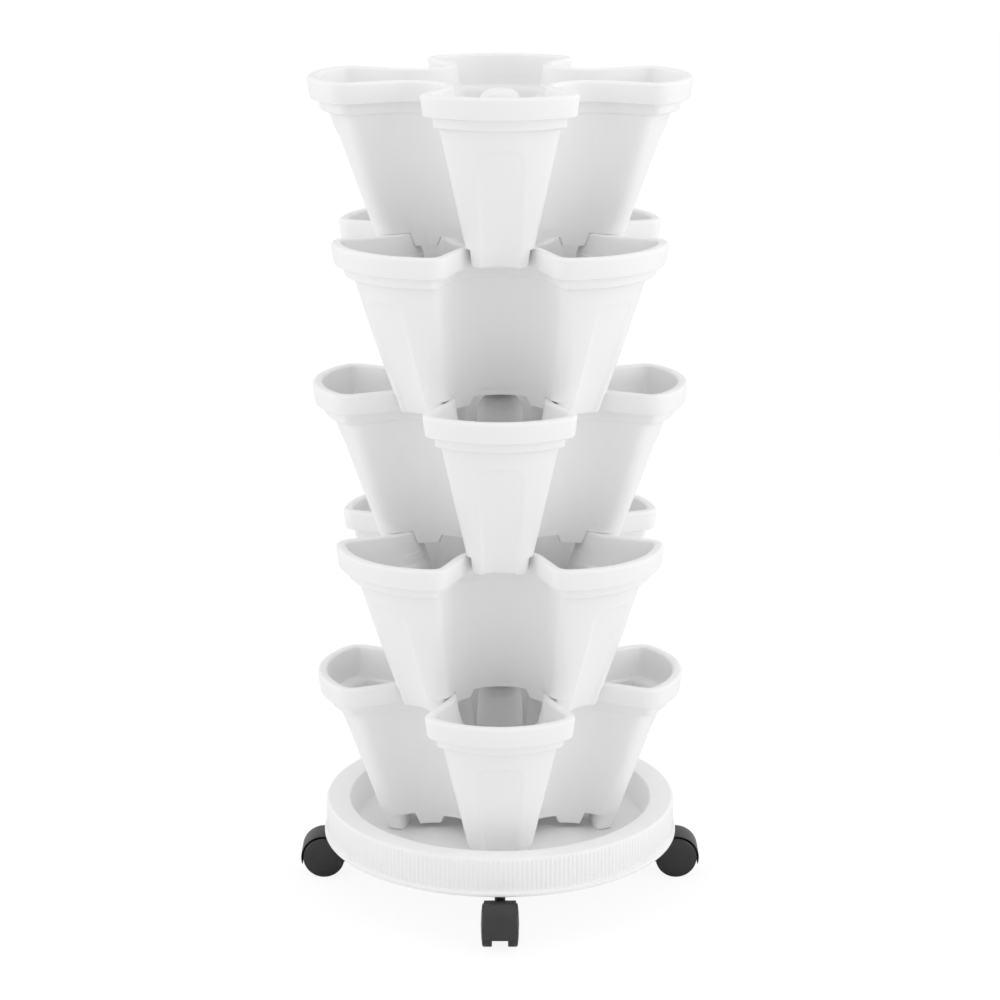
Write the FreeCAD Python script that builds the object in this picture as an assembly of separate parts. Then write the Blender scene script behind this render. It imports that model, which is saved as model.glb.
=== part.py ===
import FreeCAD, Part
import math
import os

# Vertical planter tower: five identical four-lobed pots, each turned 45 degrees on the one below,
# standing in a round drip tray on four twin-wheel casters.
# Millimetres, +Z up, origin on the floor under the middle of the tray.

Vec = FreeCAD.Vector
UP = Vec(0, 0, 1)
ORIGIN = Vec(0, 0, 0)

# Tower
TIERS = 5
TIER_TURN = 45.0
LOBES = 4

# Pot, measured from its rest plane, the underside that sits on the rim below
POT_HEIGHT = 141.5
WALL = 2.2
FLOOR = 2.4
RIM_LAND = 7.0

# Rim outline: lobe tip, the arc across it, half width, corner, and the round of the valley between lobes
RIM_TIP = 175.0
RIM_ARC = 97.0
RIM_HALF = 69.0
RIM_CORNER = 18.0
RIM_VALLEY_AT = 115.5
RIM_VALLEY_R = 33.5

# Rim band and the second band under it
BAND_HEIGHT = 19.6
BAND_DRAFT = 2.5
BAND2_HEIGHT = 10.7
BAND2_IN = 9.5

# Body outline under the bands and at the rest plane
TOP_TIP = 157.8
TOP_ARC = 75.0
TOP_HALF = 52.0
TOP_CORNER = 9.0
TOP_VALLEY_AT = 118.0
TOP_VALLEY_R = 48.5
LOW_TIP = 118.5
LOW_ARC = 60.0
LOW_HALF = 29.8
LOW_CORNER = 14.0
LOW_VALLEY_AT = 92.0
LOW_VALLEY_R = 45.0

# Flute down the face of each lobe
FLUTE_TOP = 94.0
FLUTE_HALF_TOP = 23.0
FLUTE_HALF_LOW = 18.5
FLUTE_DEPTH_TOP = 1.2
FLUTE_DEPTH_LOW = 9.0
FLUTE_ARCH = 13.0

# Peg under each lobe end, which drops into the valley of the rim below
PEG_DEPTH = 17.2
PEG_HALF = 26.8
PEG_CORNER = 12.0
PEG_BACK = 86.0
PEG_DRAFT = 1.9

# Skirt across each valley with a tab at both its ends, which locate inside the rim below
SKIRT_DEPTH = 4.0
TAB_DEPTH = 12.0
TAB_OUT_TOP = 41.0
TAB_OUT_LOW = 39.4
TAB_IN_LOW = 27.8
TAB_IN_TOP = 24.3

# Hollow column with a bevelled head in the middle of each pot, and drain holes in the floor
COLUMN_TOP_GAP = 14.0
COLUMN_TOP_R = 22.0
COLUMN_BEVEL = 8.0
COLUMN_BASE_R = 27.0
COLUMN_SIDES = 16
DRAIN_WIDTH = 5.0
DRAIN_LENGTH = 9.0
DRAIN_AT = 36.5

# Drip tray
TRAY_FLOOR_TOP = 53.0
TRAY_HEIGHT = 35.8
TRAY_TOP = 82.3
TRAY_R = 167.4
TRAY_LIP_R = 170.5
TRAY_LIP_HEIGHT = 4.3
TRAY_RING_IN = 145.3
TRAY_FLOOR_R = 139.0
TRAY_WALL = 2.6
TRAY_BEVEL = 2.0
RIB_COUNT = 240
RIB_DEPTH = 0.5
RIB_SKIN = 0.15
RIB_FOOT = 0.8

# Casters
CASTERS = 4
WHEEL_R = 20.0
WHEEL_AT = 171.5
WHEEL_IN = 7.4
WHEEL_TREAD_OUT = 15.4
WHEEL_DOME_R = 12.0
WHEEL_DOME_OUT = 17.2
WHEEL_OUT = 17.9
WHEEL_WEB = 2.4
AXLE_R = 2.5
AXLE_GAP = 0.06
HOOD_GAP = 0.6
HOOD_WALL = 1.6
HOOD_HALF = 14.8
HOOD_FROM = -13.0
HOOD_TO = 150.0
WEB_HALF = 6.6
WEB_LOW = 10.0
STEM_AT = 155.0
STEM_R = 4.8
STEM_SEAT = 28.0
STEM_IN_SOCKET = 30.0
STEM_GAP = 0.08
COLLAR_R = 7.4
COLLAR_TOP = 37.0
SOCKET_WALL = 3.2
SOCKET_HEAD = 1.0

# Chords that the arcs of the pots are laid out with: half a lobe tip, a corner and a valley
TIP_CHORDS = 4
CORNER_CHORDS = 3
VALLEY_CHORDS = 6
FLUTE_CHORDS = 4

BAND_UNDER = POT_HEIGHT - BAND_HEIGHT
BODY_TOP = BAND_UNDER - BAND2_HEIGHT
POT_REST = TRAY_FLOOR_TOP + PEG_DEPTH


def polar(radius, degrees, z=0.0):
    angle = math.radians(degrees)
    return Vec(radius * math.cos(angle), radius * math.sin(angle), z)


def turned(shape, degrees):
    copy = shape.copy()
    copy.rotate(ORIGIN, UP, degrees)
    return copy


def around(shape, count):
    return [turned(shape, 360.0 / count * i) for i in range(count)]


def arc(start, middle, end):
    return Part.Arc(start, middle, end).toShape()


def line(start, end):
    return Part.LineSegment(start, end).toShape()


class Outline:
    """Plan of a pot at one height: lobe tip arc, rounded corners, straight sides and round valleys."""

    def __init__(self, tip, tip_arc, half, corner, valley_at, valley_r):
        self.sizes = (tip, tip_arc, half, corner, valley_at, valley_r)

    def grown(self, by):
        tip, tip_arc, half, corner, valley_at, valley_r = self.sizes
        return Outline(tip + by, tip_arc + by, half + by, corner + by, valley_at, valley_r - by)

    def between(self, other, share):
        mixed = [a + (b - a) * share for a, b in zip(self.sizes, other.sizes)]
        return Outline(*mixed)

    def corner_centre(self):
        tip, tip_arc, half, corner, valley_at, valley_r = self.sizes
        across = half - corner
        along = tip - tip_arc + math.sqrt((tip_arc - corner) ** 2 - across ** 2)
        return Vec(along, across, 0)

    def points(self):
        """Corners of the chords along one quarter, from the lobe on X to the lobe on Y."""
        tip, tip_arc, half, corner, valley_at, valley_r = self.sizes
        tip_centre = Vec(tip - tip_arc, 0, 0)
        centre = self.corner_centre()
        lean = math.degrees(math.atan2(centre.y, centre.x - tip_centre.x))
        valley = polar(valley_at, 180.0 / LOBES)
        reach = valley - centre
        spread = math.degrees(math.acos((corner + valley_r) / reach.Length))
        side = math.degrees(math.atan2(reach.y, reach.x)) - spread
        after = 360.0 / LOBES - side
        half_tip = [tip_centre + polar(tip_arc, lean * i / TIP_CHORDS) for i in range(TIP_CHORDS)]
        turn = (side - lean) / CORNER_CHORDS
        bend = [centre + polar(corner, lean + turn * i) for i in range(CORNER_CHORDS + 1)]
        sweep = (after - side) / VALLEY_CHORDS
        dip = [valley - polar(valley_r, side + sweep * i) for i in range(VALLEY_CHORDS + 1)]
        first = half_tip + bend
        second = [Vec(p.y, p.x, 0) for p in reversed(first[1:])]
        return first + dip + second

    def wire(self, z):
        quarter = self.points()
        lift = Vec(0, 0, z)
        ring = []
        for lobe in range(LOBES):
            rotation = FreeCAD.Rotation(UP, 360.0 / LOBES * lobe)
            ring += [rotation.multVec(point) + lift for point in quarter]
        return Part.makePolygon(ring + [ring[0]])


RIM = Outline(RIM_TIP, RIM_ARC, RIM_HALF, RIM_CORNER, RIM_VALLEY_AT, RIM_VALLEY_R)
BODY_HIGH = Outline(TOP_TIP, TOP_ARC, TOP_HALF, TOP_CORNER, TOP_VALLEY_AT, TOP_VALLEY_R)
BODY_LOW = Outline(LOW_TIP, LOW_ARC, LOW_HALF, LOW_CORNER, LOW_VALLEY_AT, LOW_VALLEY_R)


def body_outline(z):
    return BODY_LOW.between(BODY_HIGH, z / BODY_TOP)


def tip_at(z):
    return body_outline(z).sizes[0]


def stack(levels):
    """Solid through outlines given as (height, outline) pairs."""
    return Part.makeLoft([outline.wire(z) for z, outline in levels], True, True)


def pot_outside():
    band2 = RIM.grown(-BAND2_IN)
    body = stack([(0, BODY_LOW), (BODY_TOP, BODY_HIGH)])
    step = stack([(BODY_TOP, band2), (BAND_UNDER, band2)])
    band = stack([(BAND_UNDER, RIM.grown(-BAND_DRAFT)), (POT_HEIGHT, RIM)])
    return body.fuse([step, band])


def pot_inside():
    band_floor = BAND_UNDER + WALL
    body = stack([(FLOOR, body_outline(FLOOR).grown(-WALL)), (band_floor, body_outline(band_floor).grown(-WALL))])
    mouth = stack([(band_floor, RIM.grown(-BAND_DRAFT - RIM_LAND)), (POT_HEIGHT, RIM.grown(-RIM_LAND))])
    return body.fuse(mouth)


def flute(extra):
    """Cutter for the flute of the lobe on +X, its faces moved out by extra."""
    far = RIM_TIP
    low = -PEG_DEPTH - WALL

    def section(z, half, depth):
        edge = tip_at(z) - half ** 2 / (2 * LOW_ARC) - extra
        dip = edge - (tip_at(z) - depth - extra)
        floor = []
        for i in range(FLUTE_CHORDS + 1):
            across = 2.0 * i / FLUTE_CHORDS - 1
            floor.append(Vec(edge - dip * (1 - across ** 2), (half + extra) * across, z))
        outer = [Vec(far, half + extra, z), Vec(far, -half - extra, z)]
        return Part.makePolygon(floor + outer + [floor[0]])

    high = FLUTE_TOP + extra
    cutter = Part.makeLoft([section(low, FLUTE_HALF_LOW, FLUTE_DEPTH_LOW),
                            section(high, FLUTE_HALF_TOP, FLUTE_DEPTH_TOP)], True, True)
    half = FLUTE_HALF_TOP + extra
    crown = [(-half, low), (half, low), (half, high - FLUTE_ARCH)]
    crown += [(half - FLUTE_ARCH / 3, high - FLUTE_ARCH / 3), (half - FLUTE_ARCH, high)]
    crown += [(FLUTE_ARCH - half, high), (FLUTE_ARCH / 3 - half, high - FLUTE_ARCH / 3), (-half, high - FLUTE_ARCH)]
    points = [Vec(0, across, z) for across, z in crown]
    arch = Part.Face(Part.makePolygon(points + [points[0]])).extrude(Vec(far, 0, 0))
    return cutter.common(arch)


def peg(top, low, inset):
    """Peg under the lobe on +X from height top down to low, its walls moved in by inset."""

    def section(z):
        drop = -z / PEG_DEPTH
        half = PEG_HALF - PEG_DRAFT * drop - inset
        corner = PEG_CORNER - inset
        tip = tip_at(z) - inset
        tip_arc = LOW_ARC - inset
        along = tip - tip_arc + math.sqrt((tip_arc - corner) ** 2 - (half - corner) ** 2)
        centre = Vec(along, half - corner, z)
        lean = math.degrees(math.atan2(half - corner, along - tip + tip_arc))
        turn = (90.0 - lean) / CORNER_CHORDS
        back = PEG_BACK + inset + drop
        right = [Vec(back, 0, z)]
        for i in range(1, FLUTE_CHORDS + 1):
            share = i / FLUTE_CHORDS
            right.append(Vec(back + (along - back) * share ** 2, half * share, z))
        right += [centre + polar(corner, 90.0 - turn * i) for i in range(1, CORNER_CHORDS + 1)]
        right.append(Vec(tip, 0, z))
        left = [Vec(p.x, -p.y, z) for p in reversed(right[1:-1])]
        return Part.makePolygon(right + left + [right[0]])

    return Part.makeLoft([section(low), section(top)], True, True)


def skirt():
    """Skirt and tabs hanging from the wall across the valley on the diagonal."""
    low = -TAB_DEPTH
    ring = stack([(low, body_outline(low)), (FLOOR, body_outline(FLOOR))])
    ring = ring.cut(stack([(low, body_outline(low).grown(-WALL)), (FLOOR, body_outline(FLOOR).grown(-WALL))]))
    lean = (TAB_OUT_TOP - TAB_OUT_LOW) / TAB_DEPTH * FLOOR
    right = [(TAB_OUT_TOP + lean, FLOOR), (TAB_OUT_LOW, low), (TAB_IN_LOW, low), (TAB_IN_TOP, -SKIRT_DEPTH)]
    left = [(-across, z) for across, z in reversed(right)]
    points = [Vec(0, across, z) for across, z in right + left]
    profile = Part.Face(Part.makePolygon(points + [points[0]])).extrude(Vec(LOW_TIP, 0, 0))
    window = turned(profile, 180.0 / LOBES)
    return ring.common(window)


def column():
    """Hollow column with a bevelled head from the pot floor, as outside and inside solids."""
    head = POT_HEIGHT - COLUMN_TOP_GAP

    def prism(radius, low, high):
        corners = [polar(radius, 360.0 / COLUMN_SIDES * i, low) for i in range(COLUMN_SIDES)]
        top = [polar(radius * high[0], 360.0 / COLUMN_SIDES * i, high[1]) for i in range(COLUMN_SIDES)]
        return Part.makeLoft([Part.makePolygon(corners + [corners[0]]), Part.makePolygon(top + [top[0]])], True, True)

    def solid(inset):
        shoulder = head - COLUMN_BEVEL
        top = COLUMN_TOP_R - inset
        base = COLUMN_BASE_R - inset
        shaft = prism(base, 0, (top / base, shoulder))
        cap = prism(top, shoulder, ((top - COLUMN_BEVEL) / top, head - inset))
        return shaft.fuse(cap)

    return solid(0), solid(WALL)


def pot():
    """One pot with its rest plane at height 0 and its lobes on the X and Y axes."""
    outside = pot_outside().fuse(around(peg(0, -PEG_DEPTH, 0), LOBES))
    outside = outside.cut(around(flute(0), LOBES))
    pocket = peg(FLOOR, FLOOR - PEG_DEPTH, WALL)
    inside = pot_inside().fuse(around(pocket, LOBES))
    inside = inside.cut(around(flute(WALL), LOBES))
    post, bore = column()
    slot = Part.makeBox(DRAIN_WIDTH, DRAIN_LENGTH, 3 * FLOOR, Vec(DRAIN_AT - DRAIN_WIDTH / 2, -DRAIN_LENGTH / 2, -FLOOR))
    drain = turned(slot, 180.0 / LOBES)
    shell = outside.cut(inside).fuse(around(skirt(), LOBES) + [post])
    return shell.cut([bore] + around(drain, LOBES)).removeSplitter()


def ribbed_ring(low, high):
    """Outer wall of the tray with its vertical ribs, which stand on a thin skin over the plain wall."""
    step = 360.0 / RIB_COUNT
    skin = TRAY_R + RIB_SKIN
    points = []
    for i in range(RIB_COUNT):
        points.append(polar(skin + RIB_DEPTH, step * i, low))
        points.append(polar(skin, step * (i + 0.5), low))
    outer = Part.Face(Part.makePolygon(points + [points[0]])).extrude(Vec(0, 0, high - low))
    return outer.cut(Part.makeCylinder(TRAY_R - TRAY_WALL, high - low, Vec(0, 0, low)))


def tray_section():
    """Half section of the tray: floor dish, hollow ring round it and the lip at its foot."""
    bottom = TRAY_TOP - TRAY_HEIGHT
    slope = (TRAY_RING_IN - TRAY_FLOOR_R) / (TRAY_TOP - TRAY_FLOOR_TOP)
    under = TRAY_FLOOR_TOP - TRAY_WALL
    skin = TRAY_TOP - TRAY_WALL
    points = [(0, TRAY_FLOOR_TOP), (TRAY_FLOOR_R, TRAY_FLOOR_TOP), (TRAY_RING_IN, TRAY_TOP)]
    points += [(TRAY_R - TRAY_BEVEL, TRAY_TOP), (TRAY_R, TRAY_TOP - TRAY_BEVEL), (TRAY_R, bottom + TRAY_LIP_HEIGHT)]
    points += [(TRAY_LIP_R, bottom + TRAY_LIP_HEIGHT), (TRAY_LIP_R, bottom), (TRAY_R - TRAY_WALL, bottom)]
    points += [(TRAY_R - TRAY_WALL, skin), (TRAY_RING_IN + TRAY_WALL, skin)]
    points += [(TRAY_FLOOR_R + TRAY_WALL - slope * TRAY_WALL, under), (0, under)]
    vectors = [Vec(radius, 0, z) for radius, z in points]
    return Part.Face(Part.makePolygon(vectors + [vectors[0]]))


def tray():
    dish = tray_section().revolve(ORIGIN, UP, 360)
    bottom = TRAY_TOP - TRAY_HEIGHT
    ribs = ribbed_ring(bottom + TRAY_LIP_HEIGHT + RIB_FOOT, TRAY_TOP - TRAY_BEVEL)
    boss = Part.makeCylinder(STEM_R + STEM_GAP + SOCKET_WALL, TRAY_TOP - TRAY_WALL / 2 - bottom,
                             Vec(STEM_AT, 0, bottom))
    bore = Part.makeCylinder(STEM_R + STEM_GAP, STEM_IN_SOCKET + SOCKET_HEAD, Vec(STEM_AT, 0, bottom))
    body = dish.fuse([ribs] + around(boss, CASTERS))
    return body.cut(around(bore, CASTERS)).removeSplitter()


def caster_hood():
    """Moulded caster body on +X: arched hood, web between the wheels and collar round the stem."""
    inner = WHEEL_R + HOOD_GAP
    outer = inner + HOOD_WALL
    middle = math.radians((HOOD_FROM + HOOD_TO) / 2)

    def rim_point(radius, degrees):
        angle = math.radians(degrees)
        return Vec(WHEEL_AT + radius * math.cos(angle), 0, WHEEL_R + radius * math.sin(angle))

    edges = [arc(rim_point(outer, HOOD_FROM), rim_point(outer, math.degrees(middle)), rim_point(outer, HOOD_TO))]
    edges.append(line(rim_point(outer, HOOD_TO), rim_point(inner, HOOD_TO)))
    edges.append(arc(rim_point(inner, HOOD_TO), rim_point(inner, math.degrees(middle)), rim_point(inner, HOOD_FROM)))
    edges.append(line(rim_point(inner, HOOD_FROM), rim_point(outer, HOOD_FROM)))
    hood = Part.Face(Part.Wire(edges)).extrude(Vec(0, HOOD_HALF, 0))
    hood = hood.fuse(hood.mirror(ORIGIN, Vec(0, 1, 0)))
    web_r = inner + HOOD_WALL / 2
    web = Part.makeCylinder(web_r, 2 * WEB_HALF, Vec(WHEEL_AT, -WEB_HALF, WHEEL_R), Vec(0, 1, 0))
    web = web.common(Part.makeBox(2 * web_r, 2 * WEB_HALF, 2 * web_r, Vec(WHEEL_AT - web_r, -WEB_HALF, WEB_LOW)))
    collar = Part.makeCylinder(COLLAR_R, COLLAR_TOP - WHEEL_R, Vec(STEM_AT, 0, WHEEL_R))
    wheel_room = Part.makeCylinder(inner, WHEEL_R, Vec(WHEEL_AT, WEB_HALF, WHEEL_R), Vec(0, 1, 0))
    rooms = [wheel_room, wheel_room.mirror(ORIGIN, Vec(0, 1, 0))]
    collar = collar.cut(rooms)
    stem_bore = Part.makeCylinder(STEM_R, outer, Vec(STEM_AT, 0, STEM_SEAT))
    axle_bore = Part.makeCylinder(AXLE_R, 4 * WHEEL_R, Vec(WHEEL_AT, -2 * WHEEL_R, WHEEL_R), Vec(0, 1, 0))
    return hood.fuse([web, collar]).cut([stem_bore, axle_bore]).removeSplitter()


def caster_stem():
    """Steel stem on +X, seated in the hood's collar and turning in the tray's socket."""
    low = STEM_SEAT
    return Part.makeCylinder(STEM_R, TRAY_TOP - TRAY_HEIGHT + STEM_IN_SOCKET - low, Vec(STEM_AT, 0, low))


def caster_axle():
    length = 2 * (WHEEL_OUT - WHEEL_WEB)
    return Part.makeCylinder(AXLE_R, length, Vec(WHEEL_AT, -length / 2, WHEEL_R), Vec(0, 1, 0))


def caster_wheel(side):
    """Wheel on the given side of the caster on +X, with a blind bore for the axle and a domed outer face."""
    seat = WHEEL_OUT - WHEEL_WEB + AXLE_GAP
    points = [(AXLE_R + AXLE_GAP, WHEEL_IN), (WHEEL_R, WHEEL_IN), (WHEEL_R, WHEEL_TREAD_OUT)]
    points += [(WHEEL_DOME_R, WHEEL_DOME_OUT), (0, WHEEL_OUT), (0, seat), (AXLE_R + AXLE_GAP, seat)]
    vectors = [Vec(WHEEL_AT + radius, across * side, WHEEL_R) for radius, across in points]
    half = Part.Face(Part.makePolygon(vectors + [vectors[0]]))
    return half.revolve(Vec(WHEEL_AT, 0, WHEEL_R), Vec(0, 1, 0), 360)


def export(shape, name):
    solids = shape.Solids
    solid = solids[0] if len(solids) == 1 else Part.makeCompound(solids)
    solid.exportStep("parts/" + name + ".step")
    print(name, len(solids), "solid", round(solid.Volume / 1000, 1), "cm3", "valid", solid.isValid())


def main():
    os.makedirs("parts", exist_ok=True)
    export(tray(), "tray")
    base_pot = pot()
    for tier in range(TIERS):
        placed = turned(base_pot, TIER_TURN * (tier % 2))
        placed.translate(Vec(0, 0, POT_REST + POT_HEIGHT * tier))
        export(placed, "pot_" + str(tier + 1))
    pieces = {"hood": caster_hood(), "stem": caster_stem(), "axle": caster_axle()}
    pieces["wheel_a"] = caster_wheel(1)
    pieces["wheel_b"] = caster_wheel(-1)
    for index in range(CASTERS):
        for name, shape in pieces.items():
            export(turned(shape, 360.0 / CASTERS * index), "caster_" + str(index + 1) + "_" + name)


main()
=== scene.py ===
import math

import bmesh
import bpy
from mathutils import Matrix, Vector


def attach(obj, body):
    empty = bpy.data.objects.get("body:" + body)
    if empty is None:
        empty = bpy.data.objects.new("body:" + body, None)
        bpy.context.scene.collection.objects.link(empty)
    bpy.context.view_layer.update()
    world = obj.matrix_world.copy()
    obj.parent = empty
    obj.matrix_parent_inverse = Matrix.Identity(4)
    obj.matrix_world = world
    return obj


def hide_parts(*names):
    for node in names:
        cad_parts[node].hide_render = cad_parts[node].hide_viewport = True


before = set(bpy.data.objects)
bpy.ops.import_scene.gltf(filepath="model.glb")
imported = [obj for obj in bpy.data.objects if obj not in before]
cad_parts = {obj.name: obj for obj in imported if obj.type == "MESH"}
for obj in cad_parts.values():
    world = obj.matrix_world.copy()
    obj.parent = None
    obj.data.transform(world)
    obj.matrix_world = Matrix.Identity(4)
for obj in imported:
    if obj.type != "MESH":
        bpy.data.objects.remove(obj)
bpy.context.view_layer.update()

MM = 0.001
scene = bpy.context.scene

# Sizes in millimetres. Heights on a pot count from its rest plane, all others from the floor.
# Bands, body and neck follow the photograph, and the solids are simpler by 1 to 2 mm.
TIERS = 5
POT_HEIGHT = 141.5
POT_REST = 70.2
WALL = 2.2
FLOOR = 2.4
BAND_UNDER = 121.9
BODY_TOP = 111.2
BAND_DRAFT = 2.5
BAND2_IN = 11.2
PEG_DEPTH = 17.2
TRAY_TOP = 82.3
TRAY_FLOOR = 53.0
TRAY_BOTTOM = 46.5
TRAY_LIP_TOP = 50.8
TRAY_R = 167.4
STEM_AT = 155.0
WHEEL_AT = 171.5
WHEEL_R = 20.0

# Turns in degrees: from lobe to lobe, and from a lobe to the valley beside it, by which each tier is turned too
QUARTER = 90
EIGHTH = 45

# Smallest ring at a pole, distance at which points are merged, longest share of a run that a rounding takes
POLE = 0.05
MERGE = 0.0005
LONGEST_CUT = 0.49
PIECE_SHARP = 35

# Outlines of a pot: lobe tip, arc across the tip, half width, corner, distance and radius of the valley
RIM = (175.0, 97.0, 69.0, 18.0, 115.5, 33.5)
BODY_HIGH = (156.2, 75.0, 52.7, 9.0, 118.0, 48.5)
BODY_LOW = (117.0, 60.0, 30.3, 14.0, 92.0, 45.0)

# Materials, with the sizes of their patterns in millimetres
MOULD_GRAIN = 0.9
FLOW_MARK = 70.0
NYLON_GRAIN = 0.6
NYLON_HAZE = 12.0
HAZE_SHADE = "2A2A2B"
TURNING_MARK = 0.8


def linear(code):
    """An sRGB hex value as linear red, green, blue and 1."""
    out = []
    for i in (0, 2, 4):
        c = int(code[i:i + 2], 16) / 255
        out.append(c / 12.92 if c <= 0.04045 else ((c + 0.055) / 1.055) ** 2.4)
    return (*out, 1.0)


def per_metre(size):
    """Scale of a pattern whose marks are this many millimetres wide."""
    return 1 / (size * MM)


def node(tree, kind, settings=None, **links):
    """Adds one node. Settings are its properties and plain values, links are sockets fed by other nodes."""
    n = tree.nodes.new(kind)
    for key, value in (settings or {}).items():
        if key in n.inputs:
            n.inputs[key].default_value = value
        else:
            setattr(n, key, value)
    for key, source in links.items():
        name = key.replace("_", " ")
        target = n.inputs[int(key[1:])] if key[0] == "i" and key[1:].isdigit() else n.inputs[name]
        tree.links.new(source, target)
    return n


def new_material(name):
    mat = bpy.data.materials.new(name)
    mat.use_nodes = True
    mat.node_tree.nodes.clear()
    return mat, mat.node_tree


def polypropylene():
    """White injection-moulded polypropylene: a soft satin gloss with a faint spark-eroded grain."""
    mat, t = new_material("moulded_white_polypropylene")
    place = node(t, "ShaderNodeTexCoord").outputs["Object"]
    # The mould's grain is finer than this, and is drawn coarser so that it shows at this distance
    grain = node(t, "ShaderNodeTexNoise", {"Scale": per_metre(MOULD_GRAIN), "Detail": 2.0, "Roughness": 0.6},
                 Vector=place)
    # Slow flow marks that break up the gloss
    flow = node(t, "ShaderNodeTexNoise", {"Scale": per_metre(FLOW_MARK), "Detail": 3.0, "Roughness": 0.5},
                Vector=place)
    tint = node(t, "ShaderNodeMix", {"data_type": "RGBA"}, Factor=flow.outputs["Fac"])
    tint.inputs[6].default_value = linear("F9F9F9")
    tint.inputs[7].default_value = linear("FBFBFB")
    rough = node(t, "ShaderNodeMapRange", {"To Min": 0.34, "To Max": 0.44}, Value=flow.outputs["Fac"])
    bump = node(t, "ShaderNodeBump", {"Strength": 0.08, "Distance": 0.0002}, Height=grain.outputs["Fac"])
    skin = node(t, "ShaderNodeBsdfPrincipled", {"IOR": 1.49, "Specular IOR Level": 0.4},
                Base_Color=tint.outputs[2], Roughness=rough.outputs["Result"], Normal=bump.outputs["Normal"])
    node(t, "ShaderNodeOutputMaterial", Surface=skin.outputs["BSDF"])
    return mat


def nylon(name, shade, low, high):
    """Black glass-filled nylon: dark grey rather than black, with the haze and fine grain of a moulding."""
    mat, t = new_material(name)
    place = node(t, "ShaderNodeTexCoord").outputs["Object"]
    grain = node(t, "ShaderNodeTexNoise", {"Scale": per_metre(NYLON_GRAIN), "Detail": 2.0}, Vector=place)
    haze = node(t, "ShaderNodeTexNoise", {"Scale": per_metre(NYLON_HAZE), "Detail": 2.0}, Vector=place)
    tint = node(t, "ShaderNodeMix", {"data_type": "RGBA"}, Factor=haze.outputs["Fac"])
    tint.inputs[6].default_value = linear(shade)
    tint.inputs[7].default_value = linear(HAZE_SHADE)
    rough = node(t, "ShaderNodeMapRange", {"To Min": low, "To Max": high}, Value=haze.outputs["Fac"])
    bump = node(t, "ShaderNodeBump", {"Strength": 0.12, "Distance": 0.0001}, Height=grain.outputs["Fac"])
    skin = node(t, "ShaderNodeBsdfPrincipled", {"IOR": 1.53},
                Base_Color=tint.outputs[2], Roughness=rough.outputs["Result"], Normal=bump.outputs["Normal"])
    node(t, "ShaderNodeOutputMaterial", Surface=skin.outputs["BSDF"])
    return mat


def zinc_steel():
    """Turned and zinc-plated steel of the stems and axles: pale metal whose gloss changes in fine marks."""
    mat, t = new_material("turned_zinc_plated_steel")
    place = node(t, "ShaderNodeTexCoord").outputs["Object"]
    marks = node(t, "ShaderNodeTexNoise", {"Scale": per_metre(TURNING_MARK), "Detail": 3.0}, Vector=place)
    rough = node(t, "ShaderNodeMapRange", {"To Min": 0.25, "To Max": 0.42}, Value=marks.outputs["Fac"])
    skin = node(t, "ShaderNodeBsdfPrincipled", {"Metallic": 1.0, "Base Color": linear("B9BABC")},
                Roughness=rough.outputs["Result"])
    node(t, "ShaderNodeOutputMaterial", Surface=skin.outputs["BSDF"])
    return mat


white = polypropylene()
hood_nylon = nylon("moulded_black_nylon", "343435", 0.38, 0.5)
wheel_nylon = nylon("polished_black_nylon", "242425", 0.16, 0.26)
steel = zinc_steel()


# Mesh helpers
def rotated(x, y, degrees):
    c, s = math.cos(math.radians(degrees)), math.sin(math.radians(degrees))
    return x * c - y * s, x * s + y * c


def grown(sizes, by):
    """The same outline moved outwards, or inwards where the amount is negative."""
    tip, arc, half, corner, at, valley = sizes
    return (tip + by, arc + by, half + by, corner + by, at, valley - by)


def mixed(a, b, share):
    return tuple(p + (q - p) * share for p, q in zip(a, b))


def body_sizes(z):
    return mixed(BODY_LOW, BODY_HIGH, z / BODY_TOP)


def smooth(x):
    x = min(1.0, max(0.0, x))
    return x * x * (3 - 2 * x)


def rounded(points, radii, steps=5):
    """The polyline with its inner corners rounded, each by its own radius but not past half of a run."""
    out = [points[0]]
    for before, corner, after, radius in zip(points, points[1:], points[2:], radii):
        c = Vector(corner)
        u, v = Vector(before) - c, Vector(after) - c
        angle = u.angle(v)
        cut = min(radius / math.tan(angle / 2), u.length * LONGEST_CUT, v.length * LONGEST_CUT)
        r = cut * math.tan(angle / 2)
        centre = c + (u.normalized() + v.normalized()).normalized() * (r / math.sin(angle / 2))
        a = (c + u.normalized() * cut - centre).normalized()
        b = (c + v.normalized() * cut - centre).normalized()
        out += [tuple(centre + a.slerp(b, i / steps) * r) for i in range(steps + 1)]
    out.append(points[-1])
    return out


def circle(radius, z, count):
    return [(radius * math.cos(2 * math.pi * i / count), radius * math.sin(2 * math.pi * i / count), z)
            for i in range(count)]


def skin(bm, rings):
    """Faces between successive closed rings of points."""
    layers = [[bm.verts.new(p) for p in ring] for ring in rings]
    n = len(layers[0])
    for low, high in zip(layers, layers[1:]):
        for i in range(n):
            j = (i + 1) % n
            bm.faces.new((low[i], low[j], high[j], high[i]))
    return layers


def closed_skin(bm, rings):
    """The same with a face over both ends."""
    layers = skin(bm, rings)
    bm.faces.new(layers[0])
    bm.faces.new(layers[-1])


def mesh_in_metres(bm, name):
    """Smooth mesh with its faces outwards, from one built in millimetres."""
    bmesh.ops.recalc_face_normals(bm, faces=bm.faces)
    bmesh.ops.scale(bm, vec=(MM, MM, MM), verts=bm.verts)
    mesh = bpy.data.meshes.new(name)
    bm.to_mesh(mesh)
    bm.free()
    mesh.polygons.foreach_set("use_smooth", [True] * len(mesh.polygons))
    return mesh


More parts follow.
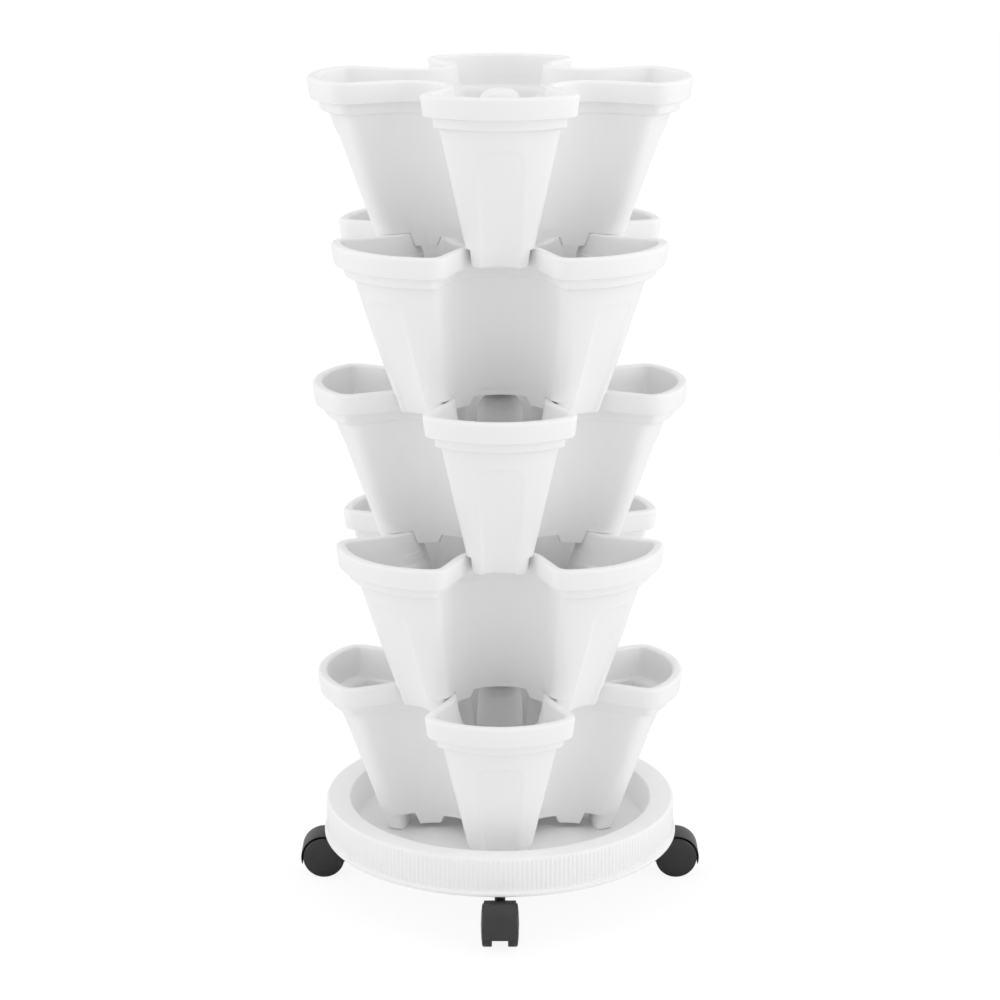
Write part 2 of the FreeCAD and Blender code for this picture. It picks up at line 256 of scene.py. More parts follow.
def finish_piece(bm, name, material, body, nodes):
    """Turns the mesh built in millimetres into a piece of the object."""
    bmesh.ops.remove_doubles(bm, verts=bm.verts, dist=MERGE)
    mesh = mesh_in_metres(bm, name)
    mesh.set_sharp_from_angle(angle=math.radians(PIECE_SHARP))
    mesh.materials.append(material)
    piece = bpy.data.objects.new(name, mesh)
    scene.collection.objects.link(piece)
    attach(piece, body)
    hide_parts(*nodes)


# Flute down the face of each lobe, and the columns of points that an outline is laid out with
FLUTE_TOP = 94.0
FLUTE_ARCH = 13.0
FLUTE_HALF_LOW = 18.2
FLUTE_WIDENS = 4.8
FLUTE_DEPTH = 8.3
FLUTE_FADE = 5.0
FLUTE_EDGE_DEPTH = 0.7
FLUTE_EDGE_WIDTH = 3.0
FLUTE_SHARES = (0, 0.17, 0.33, 0.48, 0.61, 0.71, 0.79, 0.86, 0.92, 0.97)
WIDEST_FLUTE = 0.98
TIP_COLUMNS = 6
CORNER_COLUMNS = 7
SIDE_COLUMNS = 3
VALLEY_COLUMNS = 14
EIGHTH_COLUMNS = len(FLUTE_SHARES) + TIP_COLUMNS + CORNER_COLUMNS + SIDE_COLUMNS + VALLEY_COLUMNS


def flute_share(z):
    """How far up the flute this height is, from the foot of the peg."""
    return (z + PEG_DEPTH) / (FLUTE_TOP + PEG_DEPTH)


def flute_half(z):
    return FLUTE_HALF_LOW + FLUTE_WIDENS * flute_share(min(FLUTE_TOP, z))


def flute_depth(across, z):
    """How far the flute sinks into a lobe's face at this distance from its middle line."""
    half = flute_half(z)
    share = across / half
    if share >= 1 or z >= FLUTE_TOP:
        return 0.0
    to_top = FLUTE_TOP - z
    centre = FLUTE_DEPTH * to_top / (FLUTE_TOP + PEG_DEPTH)
    inside = half - across
    if inside < FLUTE_ARCH and to_top < FLUTE_ARCH:
        inside = FLUTE_ARCH - math.hypot(FLUTE_ARCH - inside, FLUTE_ARCH - to_top)
    inside = min(inside, to_top)
    if inside <= 0:
        return 0.0
    edge = FLUTE_EDGE_DEPTH * smooth(inside / FLUTE_EDGE_WIDTH)
    return centre * (1 - share * share) * smooth(inside / FLUTE_FADE) + edge


def eighth(sizes, z, flute):
    """Points of the outline from the middle of the lobe on X to the middle of the valley."""
    tip, arc, half, corner, at, valley = sizes
    centre_tip = tip - arc
    across = half - corner
    along = centre_tip + math.sqrt((arc - corner) ** 2 - across ** 2)
    lean = math.atan2(across, along - centre_tip)
    valley_x = at * math.cos(math.pi / 4)
    reach = Vector((valley_x - along, valley_x - across))
    side = math.atan2(reach.y, reach.x) - math.acos((corner + valley) / reach.length)
    split = math.asin(min(flute_half(z) / arc, math.sin(lean) * WIDEST_FLUTE))
    turns = [split * share for share in FLUTE_SHARES]
    turns += [split + (lean - split) * i / TIP_COLUMNS for i in range(TIP_COLUMNS)]
    out = [(centre_tip + arc * math.cos(a), arc * math.sin(a)) for a in turns]
    if flute:
        out = [(x - flute_depth(y, z), y) for x, y in out]
    for i in range(CORNER_COLUMNS):
        a = lean + (side - lean) * i / CORNER_COLUMNS
        out.append((along + corner * math.cos(a), across + corner * math.sin(a)))
    x0, y0 = along + corner * math.cos(side), across + corner * math.sin(side)
    x1, y1 = valley_x - valley * math.cos(side), valley_x - valley * math.sin(side)
    for i in range(SIDE_COLUMNS):
        out.append((x0 + (x1 - x0) * i / SIDE_COLUMNS, y0 + (y1 - y0) * i / SIDE_COLUMNS))
    for i in range(VALLEY_COLUMNS + 1):
        a = side + (math.pi / 4 - side) * i / VALLEY_COLUMNS
        out.append((valley_x - valley * math.cos(a), valley_x - valley * math.sin(a)))
    return out


def ring_points(sizes, z, flute=True):
    """The whole outline of four lobes, from an eighth of it."""
    part = eighth(sizes, z, flute)
    quarter = part + [(y, x) for x, y in reversed(part[1:-1])]
    ring = []
    for lobe in range(4):
        ring += [(*rotated(x, y, QUARTER * lobe), z) for x, y in quarter]
    return ring


def blend_rings(a, b, share):
    return [mixed(u, v, share) for u, v in zip(a, b)]


# Bands, rim and body of a pot. The rim's inside is given as distances from its edge and heights.
BODY_STEP = 6.0
BODY_DEPTH = BAND2_IN + BODY_STEP
BODY_BEND = 101
NECK_DEPTH = 13.0
NECK_LOW = 112.6
LOBE_INSIDE = [(9.4, POT_HEIGHT), (12.1, 122.6), (12.5, 118.0), (NECK_DEPTH, NECK_LOW)]
VALLEY_INSIDE = [(7.4, POT_HEIGHT), (10.2, 122.6), (11.8, 118.0), (NECK_DEPTH, NECK_LOW)]
RIM_ROUNDING = (1.6, 2.6, 1.6, 1.4, 3.0, 2.8, 4.0, 3.0)

# Columns of points over which the rim's inside changes from the lobes' profile to that of the valleys
CHANGE_FROM = 20
CHANGE_COLUMNS = 12

# Ledge between the neck and the body's wall, as shares of the way and heights
LEDGE = ((0.06, 112.1), (0.25, 111.6), (0.6, 111.0), (0.85, 110.3), (0.97, 109.3), (1, 107.5))

# Lowest levels of the body with how far their edge is drawn in, and where that starts beside the pegs
FOOT_LEVELS = ((0, 0.8), (0.23, 0.23))
FOOT_EDGE = 0.8
FOOT_FROM = 20.0
FOOT_FADE = 5.0

# Steps between levels of the body, finer where the flute's arch lies
ARCH_FROM = 76
ARCH_TO = 96
FINE_STEP = 1.5
PLAIN_STEP = 6.0
SHORTEST_STEP = 0.1

# Inner wall: its highest level, and the round corner at the floor as a width and two heights
INSIDE_TOP = 105
INSIDE_CORNER = 1.2
INSIDE_CORNER_MIDDLE = 0.5
INSIDE_CORNER_HEIGHT = 1.5


def outer_ring(depth, z):
    """Outline at a distance inside the rim's edge: within the bands it follows the rim, past them the body."""
    if depth <= BAND2_IN:
        return ring_points(grown(RIM, -depth), z, False)
    share = (depth - BAND2_IN) / BODY_STEP
    body = ring_points(body_sizes(min(z, BODY_TOP)), z)
    return body if share >= 1 else blend_rings(ring_points(grown(RIM, -BAND2_IN), z, False), body, share)


def foot_ring(z, inset):
    """Lowest outline of the body, its edge drawn in beside the pegs and left plain above them."""
    full, drawn = ring_points(body_sizes(z), z), ring_points(grown(body_sizes(z), -inset), z)
    out = []
    for p, q in zip(full, drawn):
        share = smooth((min(abs(p[0]), abs(p[1])) - FOOT_FROM) / FOOT_FADE)
        out.append(mixed(p, q, share))
    return out


def mixed_ring(lobe, valley):
    """The first ring round the lobes and the second one in the valleys, with a soft change between them."""
    out = []
    for i, (p, q) in enumerate(zip(lobe, valley)):
        along = abs((i + EIGHTH_COLUMNS) % (2 * EIGHTH_COLUMNS) - EIGHTH_COLUMNS)
        out.append(mixed(p, q, smooth((along - CHANGE_FROM) / CHANGE_COLUMNS)))
    return out


def inside_ring(lobe_spot, valley_spot):
    """Outline of the rim's inside from one spot of the lobes' profile and one of the valleys'."""
    lobe, valley = [ring_points(grown(RIM, -depth), z, False) for depth, z in (lobe_spot, valley_spot)]
    return mixed_ring(lobe, valley)


def body_levels(low, high):
    levels = [low]
    while levels[-1] < high - SHORTEST_STEP:
        z = levels[-1]
        step = FINE_STEP if ARCH_FROM < z < ARCH_TO else PLAIN_STEP
        levels.append(min(high, z + step))
    return levels


def inner_body(z, flute=True):
    return ring_points(grown(body_sizes(z), -WALL), z, flute)


def pot_shell(bm):
    """Body, bands, rim and inner wall as one skin. Gives its lowest ring and the ring at the floor."""
    outer = [(BODY_DEPTH, BODY_BEND), (BODY_DEPTH, BODY_TOP), (BAND2_IN, BODY_TOP), (BAND2_IN, BAND_UNDER)]
    outer += [(BAND_DRAFT, BAND_UNDER), (0, POT_HEIGHT)]
    valley = rounded(outer + VALLEY_INSIDE, RIM_ROUNDING)
    lobe = rounded(outer + LOBE_INSIDE, RIM_ROUNDING)
    rings = [foot_ring(z, inset) for z, inset in FOOT_LEVELS]
    rings += [ring_points(body_sizes(z), z) for z in body_levels(FOOT_EDGE, BODY_BEND)[:-1]]
    top = max(range(len(lobe)), key=lambda i: lobe[i][1])
    rings += [outer_ring(depth, z) for depth, z in lobe[:top + 1]]
    rings += [inside_ring(p, q) for p, q in zip(lobe[top + 1:], valley[top + 1:])]
    neck = ring_points(grown(RIM, -NECK_DEPTH), NECK_LOW, False)
    for share, z in LEDGE:
        rings.append([(x, y, z) for x, y, _ in blend_rings(neck, inner_body(z, False), share)])
    rings += [inner_body(z) for z in reversed(body_levels(FLOOR + INSIDE_CORNER_HEIGHT, INSIDE_TOP))]
    rings.append(inner_body(FLOOR + INSIDE_CORNER_MIDDLE))
    rings.append(ring_points(grown(body_sizes(FLOOR), -WALL - INSIDE_CORNER), FLOOR))
    layers = skin(bm, rings)
    return layers[0], layers[-1]


# Drain slots with round ends, 9 by 5 mm
DRAIN_AT = 36.5
DRAIN_R = 2.5
DRAIN_HALF_RUN = 2.0
DRAIN_STEPS = 8

# Hollow column with a domed head
COLUMN_TOP_GAP = 13.0
COLUMN_FOOT_R = 27.0
COLUMN_NECK_R = 20.6
DOME_HEIGHT = 12.0
DOME_R = 13.5
DOME_R_INSIDE = 12.0
DOME_HEIGHT_INSIDE = 13.0
DOME_POLE = 0.01
DOME_ROUNDING = [10.0, 16.0]
DOME_ROUNDING_INSIDE = [8.0, 14.0]
COLUMN_SEGMENTS = 48
DOME_STEPS = 8


def drain_slot(z, turn):
    points = []
    for end in (1, -1):
        for i in range(DRAIN_STEPS + 1):
            a = math.radians(180 * i / DRAIN_STEPS + (0 if end > 0 else 180))
            points.append((DRAIN_AT + DRAIN_R * math.cos(a), DRAIN_HALF_RUN * end + DRAIN_R * math.sin(a)))
    return [(*rotated(x, y, turn), z) for x, y in points]


def pot_floor(bm, under, inside):
    """Closes the shell with its floor, the hollow column and four drain slots."""
    head = POT_HEIGHT - COLUMN_TOP_GAP
    outer = [(COLUMN_FOOT_R, FLOOR), (COLUMN_NECK_R, head - DOME_HEIGHT), (DOME_R, head), (DOME_POLE, head)]
    inner = [(COLUMN_FOOT_R - WALL, 0.0), (COLUMN_NECK_R - WALL, head - DOME_HEIGHT_INSIDE)]
    inner += [(DOME_R_INSIDE, head - WALL), (DOME_POLE, head - WALL)]
    outer = rounded(outer, DOME_ROUNDING, DOME_STEPS)
    inner = rounded(inner, DOME_ROUNDING_INSIDE, DOME_STEPS)
    post = skin(bm, [circle(r, z, COLUMN_SEGMENTS) for r, z in outer])
    bore = skin(bm, [circle(r, z, COLUMN_SEGMENTS) for r, z in inner])
    turns = [EIGHTH + QUARTER * i for i in range(4)]
    slots = [skin(bm, [drain_slot(FLOOR, turn), drain_slot(0, turn)]) for turn in turns]
    top_loops = [inside, post[0]] + [s[0] for s in slots]
    low_loops = [under, bore[0]] + [s[1] for s in slots]
    for loops in (top_loops, low_loops):
        edges = []
        for loop in loops:
            for i, v in enumerate(loop):
                w = loop[(i + 1) % len(loop)]
                edges.append(bm.edges.get((v, w)) or bm.edges.new((v, w)))
        bmesh.ops.triangle_fill(bm, edges=edges, use_beauty=True)


# Peg under each lobe end: heights with how far the plan is drawn in, then the plan's own sizes
PEG_LEVELS = ((0, 0), (-3, 0), (-6, 0), (-9, 0), (-12, 0),
              (-14.6, 0), (-15.7, 0.2), (-16.5, 0.7), (-17, 1.4), (-17.2, 2.3))
PEG_HALF = 26.8
PEG_DRAFT = 1.9
PEG_CORNER = 12.0
PEG_ARC = 60.0
PEG_BACK = 86.0
PEG_PULL = 5.0
PEG_PULL_SHARE = 0.55
FRONT_STEPS = 24
CORNER_STEPS = 8
BACK_STEPS = 12


def peg_back(along, half, back):
    """Back of the peg as a cubic curve from its side to its middle line."""
    spots = ((along, half), (along - PEG_PULL, half), (back, half * PEG_PULL_SHARE), (back, 0.0))
    out = []
    for i in range(1, BACK_STEPS + 1):
        t = i / BACK_STEPS
        u = 1 - t
        weights = (u ** 3, 3 * u * u * t, 3 * u * t * t, t ** 3)
        out.append(tuple(sum(w * spot[k] for w, spot in zip(weights, spots)) for k in (0, 1)))
    return out


def peg_plan(z, inset):
    """Half plan of the peg on X: front flush with the lobe, round corner, and a back like the rim's valley."""
    drop = -z / PEG_DEPTH
    half = PEG_HALF - PEG_DRAFT * drop - inset
    tip = body_sizes(z)[0] - inset
    along = tip - PEG_ARC + math.sqrt((PEG_ARC - PEG_CORNER) ** 2 - (half - PEG_CORNER) ** 2)
    lean = math.atan2(half - PEG_CORNER, along - tip + PEG_ARC)
    side = []
    for i in range(FRONT_STEPS + 1):
        a = lean * i / FRONT_STEPS
        side.append((tip - PEG_ARC + PEG_ARC * math.cos(a), PEG_ARC * math.sin(a)))
    for i in range(1, CORNER_STEPS + 1):
        a = lean + (math.pi / 2 - lean) * i / CORNER_STEPS
        side.append((along + PEG_CORNER * math.cos(a), half - PEG_CORNER + PEG_CORNER * math.sin(a)))
    side = [(x - flute_depth(y, z), y) for x, y in side]
    return side + peg_back(along, half, PEG_BACK + drop + inset)


def pegs(bm):
    """Pegs under the lobe ends, which drop into the valleys of the rim below."""
    for lobe in range(4):
        rings = []
        for z, inset in PEG_LEVELS:
            side = peg_plan(z, inset)
            ring = side + [(x, -y) for x, y in reversed(side[1:-1])]
            rings.append([(*rotated(x, y, QUARTER * lobe), z) for x, y in ring])
        closed_skin(bm, rings)


# Skirt across each valley, with a tab at both ends
SKIRT_ROOT = 0.6
SKIRT_DEPTH = 4.0
TAB_DEPTH = 12.0
TAB_OUT_TOP = 41.3
TAB_OUT_LOW = 39.9
TAB_IN_LOW = 27.8
TAB_IN_TOP = 24.3
SKIRT_SIDE = [-TAB_OUT_TOP, -40.6, -TAB_OUT_LOW, -36.8, -33, -29, -TAB_IN_LOW, -26, -TAB_IN_TOP, -18, -12, -6]
SKIRT_ROWS = 4


def skirt_low_edge(t):
    """Height of the skirt's lower edge at this distance from the valley's middle."""
    t = abs(t)
    if t <= TAB_IN_TOP:
        return -SKIRT_DEPTH
    if t <= TAB_IN_LOW:
        return -SKIRT_DEPTH - (t - TAB_IN_TOP) / (TAB_IN_LOW - TAB_IN_TOP) * (TAB_DEPTH - SKIRT_DEPTH)
    if t <= TAB_OUT_LOW:
        return -TAB_DEPTH
    return -TAB_DEPTH + (t - TAB_OUT_LOW) / (TAB_OUT_TOP - TAB_OUT_LOW) * TAB_DEPTH


def along_valley(inset, t, z):
    """How far out the wall lies on the valley's diagonal, at this distance to its side."""
    part = eighth(grown(body_sizes(z), -inset), z, False)
    spots = [((x + y) / math.sqrt(2), (x - y) / math.sqrt(2)) for x, y in part]
    spots.sort(key=lambda p: p[1])
    t = max(abs(t), spots[0][1])
    for (s0, t0), (s1, t1) in zip(spots, spots[1:]):
        if t0 <= t <= t1:
            return s0 + (s1 - s0) * (t - t0) / max(t1 - t0, 1e-9)
    return spots[-1][0]


def skirt_grid(bm, columns, inset, turn):
    """One side of a skirt as columns of points from its root down to its lower edge."""
    grid = []
    for t in columns:
        low = skirt_low_edge(t)
        column = []
        for row in range(SKIRT_ROWS + 1):
            z = SKIRT_ROOT + (low - SKIRT_ROOT) * row / SKIRT_ROWS
            column.append(bm.verts.new((*rotated(along_valley(inset, t, z), t, turn), z)))
        grid.append(column)
    return grid


def skirts(bm):
    """Skirt across each valley with a tab at both ends, which locate inside the rim below."""
    columns = SKIRT_SIDE + [0] + [-c for c in reversed(SKIRT_SIDE)]
    for valley in range(4):
        turn = EIGHTH + QUARTER * valley
        outer, inner = [skirt_grid(bm, columns, inset, turn) for inset in (0.0, WALL)]
        for grid, flip in ((outer, False), (inner, True)):
            for a, b in zip(grid, grid[1:]):
                for k in range(SKIRT_ROWS):
                    quad = (a[k], b[k], b[k + 1], a[k + 1])
                    bm.faces.new(tuple(reversed(quad)) if flip else quad)
        for i in range(len(columns) - 1):
            bm.faces.new((outer[i][-1], outer[i + 1][-1], inner[i + 1][-1], inner[i][-1]))
            bm.faces.new((outer[i][0], inner[i][0], inner[i + 1][0], outer[i + 1][0]))
        for k in range(SKIRT_ROWS):
            bm.faces.new((outer[0][k], outer[0][k + 1], inner[0][k + 1], inner[0][k]))
            bm.faces.new((outer[-1][k], inner[-1][k], inner[-1][k + 1], outer[-1][k + 1]))


def pot(tier):
    bm = bmesh.new()
    under, inside = pot_shell(bm)
    pot_floor(bm, under, inside)
    pegs(bm)
    skirts(bm)
    turn = Matrix.Rotation(math.radians(EIGHTH * ((tier - 1) % 2)), 4, "Z")
    rise = Matrix.Translation((0, 0, POT_REST + POT_HEIGHT * (tier - 1)))
    bmesh.ops.transform(bm, matrix=rise @ turn, verts=bm.verts)
    finish_piece(bm, f"pot_shell_{tier}", white, f"pot_body_{tier}", [f"pot_{tier}"])


for tier in range(1, TIERS + 1):
    pot(tier)


# Tray
TRAY_SEGMENTS = 240
TRAY_WALL = 2.6
TRAY_FLOOR_R = 139.0
TRAY_RING_FOOT_R = 141.2
TRAY_RING_R = 145.3
TRAY_OUTER_INSIDE_R = 165.0
TRAY_LIP_R = 170.5
TRAY_CROWN = 0.9
TRAY_ROUNDING = [4.0, 2.2, 1.9, 0.9, 1.6, 1.4, 0.6, 0.8, 0.8, 2.0]

# Stem socket as radii and heights: outside, foot, chamfer, bore and head
SOCKET = ((8.0, 80.5), (8.0, 47.5), (7.3, TRAY_BOTTOM), (5.0, TRAY_BOTTOM),
          (4.88, 47.5), (4.88, 77.5), (POLE, 77.5))
SOCKET_SEGMENTS = 40

# Ribs: height over the wall, depth of the root, share of the pitch, and how far each level is drawn in
RIB_COUNT = 240
RIB_HEIGHT = 0.75
RIB_ROOT = -0.4
RIB_ROOT_BACK = -0.5
RIB_HALF_SHARE = 0.48
RIB_ACROSS = (-1, -0.66, -0.33, 0, 0.33, 0.66, 1)
RIB_LEVELS = ((51.5, -0.4), (52.3, 0.0), (80.0, 0.0), (80.7, -0.15), (81.4, -0.75))
RIB_SHARP = 50


def tray():
    bm = bmesh.new()
    under_top = TRAY_TOP - TRAY_WALL
    under_floor = TRAY_FLOOR - TRAY_WALL
    corners = [(POLE, TRAY_FLOOR), (TRAY_FLOOR_R, TRAY_FLOOR), (TRAY_RING_R, TRAY_TOP)]
    corners += [(TRAY_R, TRAY_TOP + TRAY_CROWN), (TRAY_R, TRAY_LIP_TOP)]
    corners += [(TRAY_LIP_R, TRAY_LIP_TOP), (TRAY_LIP_R, TRAY_BOTTOM), (TRAY_OUTER_INSIDE_R, TRAY_BOTTOM)]
    corners += [(TRAY_OUTER_INSIDE_R, under_top), (TRAY_RING_R + TRAY_WALL, under_top)]
    corners += [(TRAY_RING_FOOT_R, under_floor), (POLE, under_floor)]
    skin(bm, [circle(r, z, TRAY_SEGMENTS) for r, z in rounded(corners, TRAY_ROUNDING)])
    for index in range(4):
        x, y = rotated(STEM_AT, 0, QUARTER * index)
        skin(bm, [[(x + u, y + v, z) for u, v, z in circle(r, level, SOCKET_SEGMENTS)] for r, level in SOCKET])
    finish_piece(bm, "tray_dish", white, "tray_body", ["tray"])


def rib_tree(material):
    """Geometry Nodes that stand one rib at each point of a circle round the tray."""
    tree = bpy.data.node_groups.new("tray_ribs", "GeometryNodeTree")
    face = tree.interface
    face.new_socket("Geometry", in_out="INPUT", socket_type="NodeSocketGeometry")
    count = face.new_socket("Rib count", in_out="INPUT", socket_type="NodeSocketInt")
    radius = face.new_socket("Wall radius", in_out="INPUT", socket_type="NodeSocketFloat")
    face.new_socket("Geometry", in_out="OUTPUT", socket_type="NodeSocketGeometry")
    given = node(tree, "NodeGroupInput")
    rib_count = given.outputs["Rib count"]
    spots = node(tree, "GeometryNodeMeshCircle", None, Vertices=rib_count, Radius=given.outputs["Wall radius"])
    index = node(tree, "GeometryNodeInputIndex")
    step = node(tree, "ShaderNodeMath", {"operation": "DIVIDE"}, i0=index.outputs[0], i1=rib_count)
    turn = node(tree, "ShaderNodeMath", {"operation": "MULTIPLY"}, i0=step.outputs[0])
    turn.inputs[1].default_value = 2 * math.pi
    spin = node(tree, "ShaderNodeCombineXYZ", None, Z=turn.outputs[0])
    ribs = node(tree, "GeometryNodeInstanceOnPoints", None, Points=spots.outputs["Mesh"],
                Instance=given.outputs["Geometry"], Rotation=spin.outputs[0])
    real = node(tree, "GeometryNodeRealizeInstances", None, Geometry=ribs.outputs["Instances"])
    paint = node(tree, "GeometryNodeSetMaterial", {"Material": material}, Geometry=real.outputs["Geometry"])
    node(tree, "NodeGroupOutput", None, Geometry=paint.outputs["Geometry"])
    return tree, count.identifier, radius.identifier


def one_rib():
    """Mesh of a rib with a round face, standing on X with its root in the wall."""
    bm = bmesh.new()
    half = 2 * math.pi * TRAY_R / RIB_COUNT * RIB_HALF_SHARE
    section = [(RIB_ROOT, -half)]
    section += [(RIB_HEIGHT * math.cos(math.pi / 2 * u) ** 2, half * u) for u in RIB_ACROSS]
    section.append((RIB_ROOT, half))
    rings = []
    for z, move in RIB_LEVELS:
        rings.append([(x + (move if x >= 0 else RIB_ROOT_BACK), y, z) for x, y in section])
    closed_skin(bm, rings)
    return mesh_in_metres(bm, "one_rib")


def tray_ribs():
    base = bpy.data.objects.new("one_rib", one_rib())
    scene.collection.objects.link(base)
    tree, count, radius = rib_tree(white)
    mod = base.modifiers.new("ribs", "NODES")
    mod.node_group = tree
    mod[count] = RIB_COUNT
    mod[radius] = TRAY_R * MM
    bpy.context.view_layer.update()
    done = bpy.data.meshes.new_from_object(base.evaluated_get(bpy.context.evaluated_depsgraph_get()))
    base.modifiers.clear()
    bpy.data.objects.remove(base)
    done.name = "tray_ribs"
    done.set_sharp_from_angle(angle=math.radians(RIB_SHARP))
    piece = bpy.data.objects.new("tray_ribs", done)
    scene.collection.objects.link(piece)
    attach(piece, "tray_body")


tray()
tray_ribs()


# Casters, built on X. Wheel outline as radii and distances from the caster's middle plane.
WHEEL_IN = 7.4
WHEEL_BORE_R = 2.6
WHEEL_BORE_END = 15.6
WHEEL_OUTLINE = [(WHEEL_BORE_R, WHEEL_IN), (WHEEL_R, WHEEL_IN), (WHEEL_R, 16.3), (12.0, 17.2), (POLE, 17.7)]
WHEEL_ROUNDING = [0.9, 1.8, 30.0]
WHEEL_STEPS = 6
WHEEL_SEGMENTS = 96
HOOD_IN = 21.5
HOOD_OUT = 22.2
HOOD_HALF = 14.8
HOOD_FROM = -16.5
HOOD_TO = 150.0
HOOD_SEGMENTS = 44
HOOD_ROUNDING = [0.2, 0.6]
HOOD_STEPS = 4
WEB_R = 21.0
WEB_HALF = 7.3
WEB_LOW = 12.6
WEB_SEGMENTS = 40
COLLAR_R = 5.7
COLLAR_FOOT = 22.0
COLLAR_TOP = 34.5
COLLAR_ROUNDING = [0.5, 0.8, 0.5, 0.1]
SLEEVE_R = 4.95
SLEEVE_IN_R = 4.82
SLEEVE_TOP = 46.4
SLEEVE_SEGMENTS = 40


def placed(bm, index):
    """Turns a caster's piece from X to the caster's own place."""
    turn = Matrix.Rotation(math.radians(QUARTER * index), 3, "Z")
    bmesh.ops.rotate(bm, cent=(0, 0, 0), matrix=turn, verts=bm.verts)


def wheel_piece(index, side, letter):
    bm = bmesh.new()
    rings = []
    for r, y in [(WHEEL_BORE_R, WHEEL_BORE_END)] + rounded(WHEEL_OUTLINE, WHEEL_ROUNDING, WHEEL_STEPS):
        rings.append([(WHEEL_AT + u, y * side, WHEEL_R + v) for u, v, _ in circle(r, 0, WHEEL_SEGMENTS)])
    closed_skin(bm, rings)
    placed(bm, index)
    name, body = f"wheel_disc_{letter}_{index + 1}", f"wheel_{letter}_{index + 1}"
    finish_piece(bm, name, wheel_nylon, body, [f"caster_{index + 1}_wheel_{letter}"])


def hood_arch(bm):
    section = [(HOOD_IN, 0.0), (HOOD_IN, HOOD_HALF), (HOOD_OUT, HOOD_HALF), (HOOD_OUT, 0.0)]
    section = rounded(section, HOOD_ROUNDING, HOOD_STEPS)
    section = section + [(r, -y) for r, y in reversed(section[1:-1])]
    rings = []
    for i in range(HOOD_SEGMENTS + 1):
        a = math.radians(HOOD_FROM + (HOOD_TO - HOOD_FROM) * i / HOOD_SEGMENTS)
        rings.append([(WHEEL_AT + r * math.cos(a), y, WHEEL_R + r * math.sin(a)) for r, y in section])
    closed_skin(bm, rings)


def hood_web(bm):
    """Disc between the wheels, cut off level at its foot."""
    low = -math.asin((WHEEL_R - WEB_LOW) / WEB_R)
    turns = [low + (math.pi - 2 * low) * i / WEB_SEGMENTS for i in range(WEB_SEGMENTS + 1)]
    rings = []
    for side in (-WEB_HALF, WEB_HALF):
        rings.append([(WHEEL_AT + WEB_R * math.cos(a), side, WHEEL_R + WEB_R * math.sin(a)) for a in turns])
    closed_skin(bm, rings)


def hood_collar(bm):
    """Low collar and the thin black sleeve round the stem, which is what shows under the tray."""
    corners = [(POLE, COLLAR_FOOT), (COLLAR_R, COLLAR_FOOT), (COLLAR_R, COLLAR_TOP), (SLEEVE_R, COLLAR_TOP)]
    corners += [(SLEEVE_R, SLEEVE_TOP), (SLEEVE_IN_R, SLEEVE_TOP)]
    outline = rounded(corners, COLLAR_ROUNDING)
    skin(bm, [[(STEM_AT + u, v, z) for u, v, _ in circle(r, 0, SLEEVE_SEGMENTS)] for r, z in outline])


def hood_piece(index):
    bm = bmesh.new()
    hood_arch(bm)
    hood_web(bm)
    hood_collar(bm)
    placed(bm, index)
    name = f"caster_{index + 1}_hood"
    finish_piece(bm, f"hood_arch_{index + 1}", hood_nylon, f"caster_body_{index + 1}", [name])


for index in range(4):
    for bit in ("stem", "axle"):
        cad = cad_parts[f"caster_{index + 1}_{bit}"]
        cad.data.materials.clear()
        cad.data.materials.append(steel)
    hood_piece(index)
    wheel_piece(index, 1, "a")
    wheel_piece(index, -1, "b")


# Floor, light and camera, in metres
PAPER_SHADE = "F2F2F2"
PAPER_SHADOW = 0.13
PAPER_GLOW = 0.9
PAPER_CORNERS = [(-6, -4, 0), (6, -4, 0), (6, 8, 0), (-6, 8, 0)]
FILL_FRONT = 0.71
FILL_SIDES = 1.5
SIDE_NARROWING = 3.0
AIM = (0, 0, 0.4)
BOX_HEIGHT = 1.6
CAMERA_AT = (0, -2.508, 1.0759)
CAMERA_DOWN = 0.2716
CAMERA_LENS = 99.264
CAMERA_SENSOR = 36.0
CAMERA_FAR = 50

# Softboxes: name, place, width and power in watts
SOFTBOXES = (
    ("key_right", (2.2, -1.1, 1.3), 1.2, 6),
    ("key_left", (-2.2, -1.1, 1.3), 1.2, 2.5),
    ("top", (0, 0, 2.4), 1.6, 3),
)


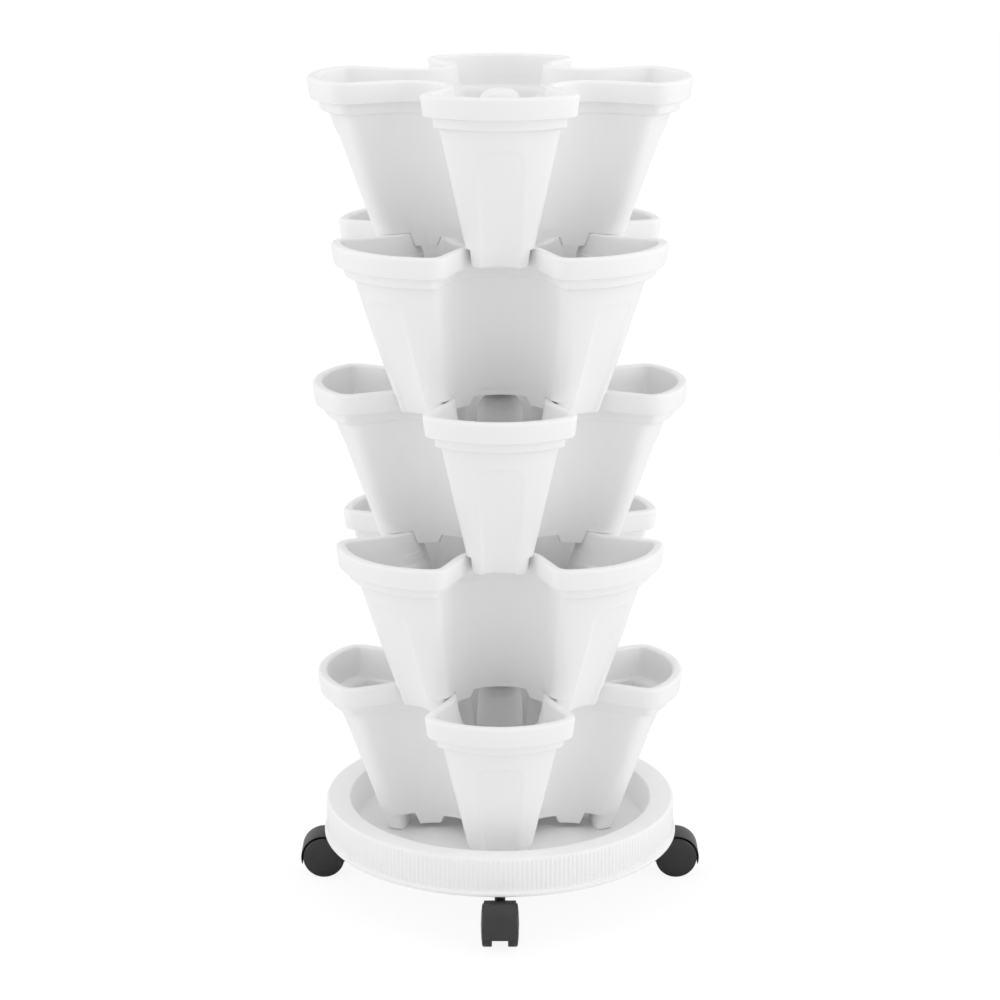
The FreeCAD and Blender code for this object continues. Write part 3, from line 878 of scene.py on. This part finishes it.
def stage_floor():
    """Paper sweep: near white with a faint shadow to the camera, and plain pale paper to all other rays."""
    mat, t = new_material("white_paper_sweep")
    path = node(t, "ShaderNodeLightPath")
    paper = node(t, "ShaderNodeBsdfDiffuse", {"Color": linear(PAPER_SHADE)})
    veil = node(t, "ShaderNodeBsdfDiffuse", {"Color": (PAPER_SHADOW, PAPER_SHADOW, PAPER_SHADOW, 1)})
    glow = node(t, "ShaderNodeEmission", {"Color": (1, 1, 1, 1), "Strength": PAPER_GLOW})
    both = node(t, "ShaderNodeAddShader", None, i0=veil.outputs[0], i1=glow.outputs[0])
    pick = node(t, "ShaderNodeMixShader", None,
                Fac=path.outputs["Is Camera Ray"], i1=paper.outputs[0], i2=both.outputs[0])
    node(t, "ShaderNodeOutputMaterial", Surface=pick.outputs[0])
    mesh = bpy.data.meshes.new("floor")
    mesh.from_pydata(PAPER_CORNERS, [], [(0, 1, 2, 3)])
    mesh.materials.append(mat)
    floor = bpy.data.objects.new("floor", mesh)
    scene.collection.objects.link(floor)


def studio_world():
    """Soft fill from all round, stronger from both sides, as between large softboxes. The camera sees white."""
    world = bpy.data.worlds.new("studio")
    scene.world = world
    world.use_nodes = True
    t = world.node_tree
    t.nodes.clear()
    path = node(t, "ShaderNodeLightPath")
    way = node(t, "ShaderNodeSeparateXYZ", None, Vector=node(t, "ShaderNodeTexCoord").outputs["Generated"])
    sideways = node(t, "ShaderNodeMath", {"operation": "ABSOLUTE"}, i0=way.outputs["X"])
    narrow = node(t, "ShaderNodeMath", {"operation": "POWER"}, i0=sideways.outputs[0])
    narrow.inputs[1].default_value = SIDE_NARROWING
    level = node(t, "ShaderNodeMapRange", {"To Min": FILL_FRONT, "To Max": FILL_SIDES}, Value=narrow.outputs[0])
    fill = node(t, "ShaderNodeBackground", {"Color": (1, 1, 1, 1)}, Strength=level.outputs["Result"])
    white_back = node(t, "ShaderNodeBackground", {"Color": (1, 1, 1, 1), "Strength": 1.0})
    pick = node(t, "ShaderNodeMixShader", None,
                Fac=path.outputs["Is Camera Ray"], i1=fill.outputs[0], i2=white_back.outputs[0])
    node(t, "ShaderNodeOutputWorld", Surface=pick.outputs[0])


def softbox(name, place, width, power):
    light = bpy.data.lights.new(name, "AREA")
    light.shape = "RECTANGLE"
    light.size, light.size_y = width, BOX_HEIGHT
    light.energy = power
    lamp = bpy.data.objects.new(name, light)
    lamp.location = place
    lamp.rotation_euler = (Vector(AIM) - Vector(place)).to_track_quat("-Z", "Y").to_euler()
    scene.collection.objects.link(lamp)


def camera():
    data = bpy.data.cameras.new("camera")
    data.sensor_width = CAMERA_SENSOR
    data.lens = CAMERA_LENS
    data.clip_end = CAMERA_FAR
    cam = bpy.data.objects.new("camera", data)
    cam.location = CAMERA_AT
    cam.rotation_euler = (math.pi / 2 - CAMERA_DOWN, 0, 0)
    scene.collection.objects.link(cam)
    scene.camera = cam


stage_floor()
studio_world()
for box in SOFTBOXES:
    softbox(*box)
camera()
scene.view_settings.view_transform = "Standard"
